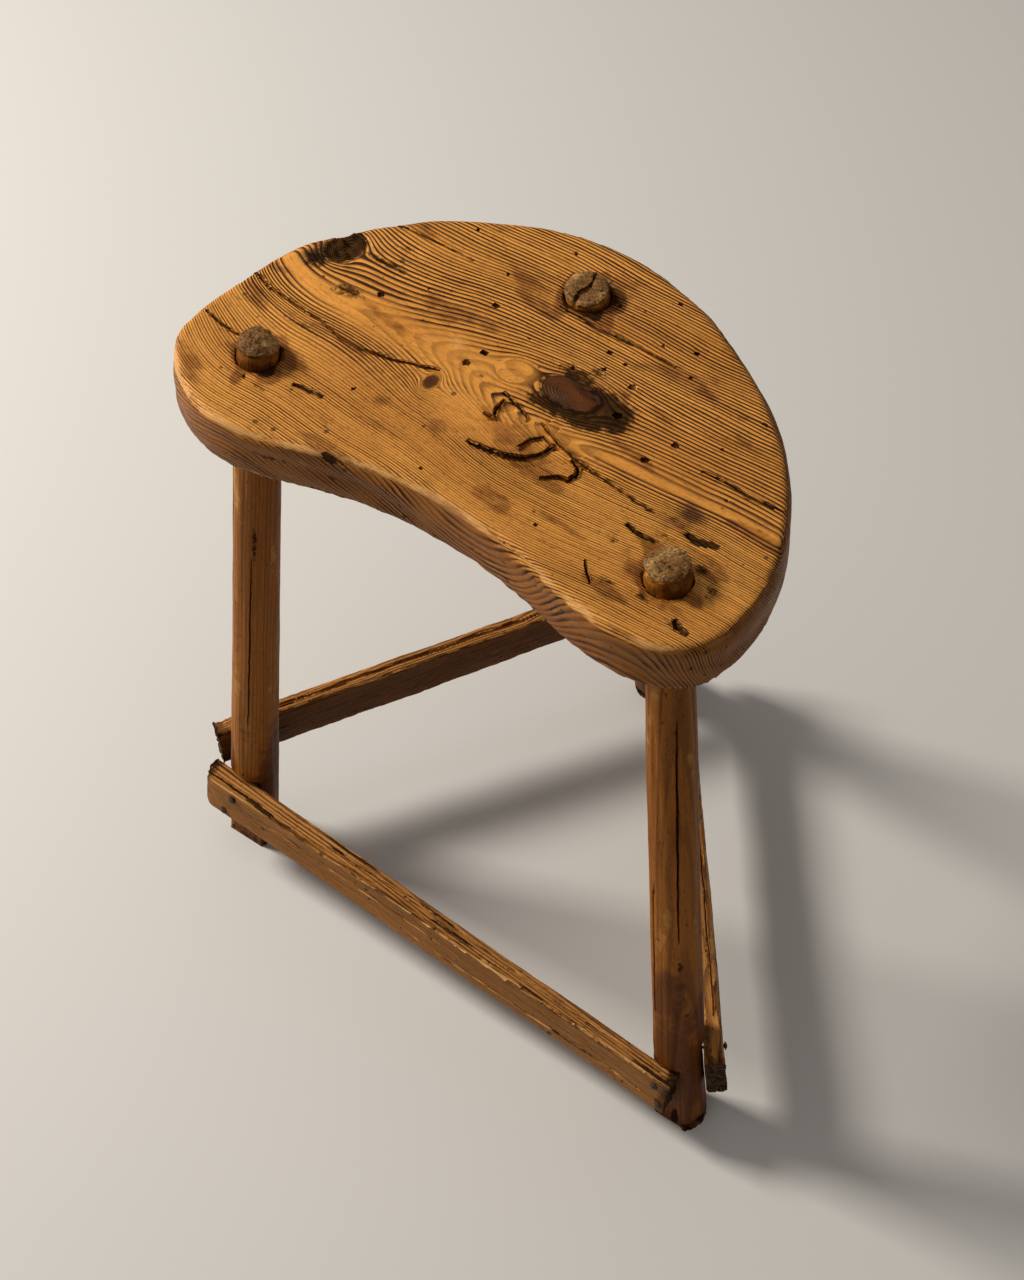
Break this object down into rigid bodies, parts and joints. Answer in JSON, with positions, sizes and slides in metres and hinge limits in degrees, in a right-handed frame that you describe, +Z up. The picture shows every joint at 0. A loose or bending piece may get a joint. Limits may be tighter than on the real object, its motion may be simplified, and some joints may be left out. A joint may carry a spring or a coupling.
{
  "type": "wooden milking stool",
  "caption": "Hand-made milking stool: thick kidney-shaped plank seat on raking round through-tenoned legs, tied near the floor by nailed rails.",
  "frame": {"origin": "on the floor, under the middle of the whole stool's box", "axes": "+X along the seat's grain from the front left leg to the front right leg, +Y from the hollow front edge to the round back edge, +Z up"},
  "size_m": [0.4356, 0.3356, 0.502],
  "materials": {
    "seat_wood": "old softwood worn smooth, waxy sheen on the edges, dry and open between the growth rings",
    "leg_wood": "hand-shaved wood, dark with handling, low sheen",
    "rail_wood": "weathered sawn wood, dry, dark in the grain",
    "nail_iron": "dark forged iron, rubbed bright in spots"
  },
  "bodies": {
    "root": {"back_leg": "leg_wood", "back_rail": "rail_wood", "back_rail_nail_back_lower": "nail_iron", "back_rail_nail_back_upper": "nail_iron", "back_rail_nail_left_lower": "nail_iron", "back_rail_nail_left_upper": "nail_iron", "back_tenon_wedge": "leg_wood", "front_rail": "rail_wood", "front_rail_nail_left_lower": "nail_iron", "front_rail_nail_left_upper": "nail_iron", "front_rail_nail_right_lower": "nail_iron", "front_rail_nail_right_upper": "nail_iron", "left_leg": "leg_wood", "right_leg": "leg_wood", "seat_plank": "seat_wood", "side_rail": "rail_wood", "side_rail_nail_back_single": "nail_iron", "side_rail_nail_right_single": "nail_iron"}
  },
  "joints": []
}
